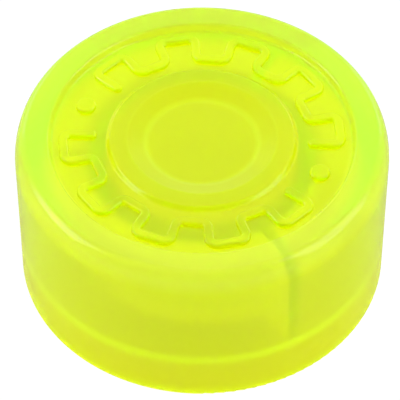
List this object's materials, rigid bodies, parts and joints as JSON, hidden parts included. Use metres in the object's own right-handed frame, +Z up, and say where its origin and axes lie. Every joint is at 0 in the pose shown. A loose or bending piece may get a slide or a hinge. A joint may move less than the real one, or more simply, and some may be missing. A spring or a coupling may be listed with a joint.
{
  "type": "footswitch topper",
  "caption": "Round push-on cap for a stomp switch: translucent shell with rounded crown, central dish, raised bars in a sunk ring, soft grip bush inside.",
  "frame": {"origin": "centre of the base, on the surface the cap stands on", "axes": "+Z up along the cap's axis, out of the crown; +X and +Y across it"},
  "size_m": [0.024, 0.024, 0.0117],
  "materials": {
    "cap": "translucent fluorescent yellow-green, satin gloss",
    "sleeve": "soft translucent silicone, satin"
  },
  "bodies": {
    "root": {"cap_shell": "cap", "grip_sleeve": "sleeve"}
  },
  "joints": []
}
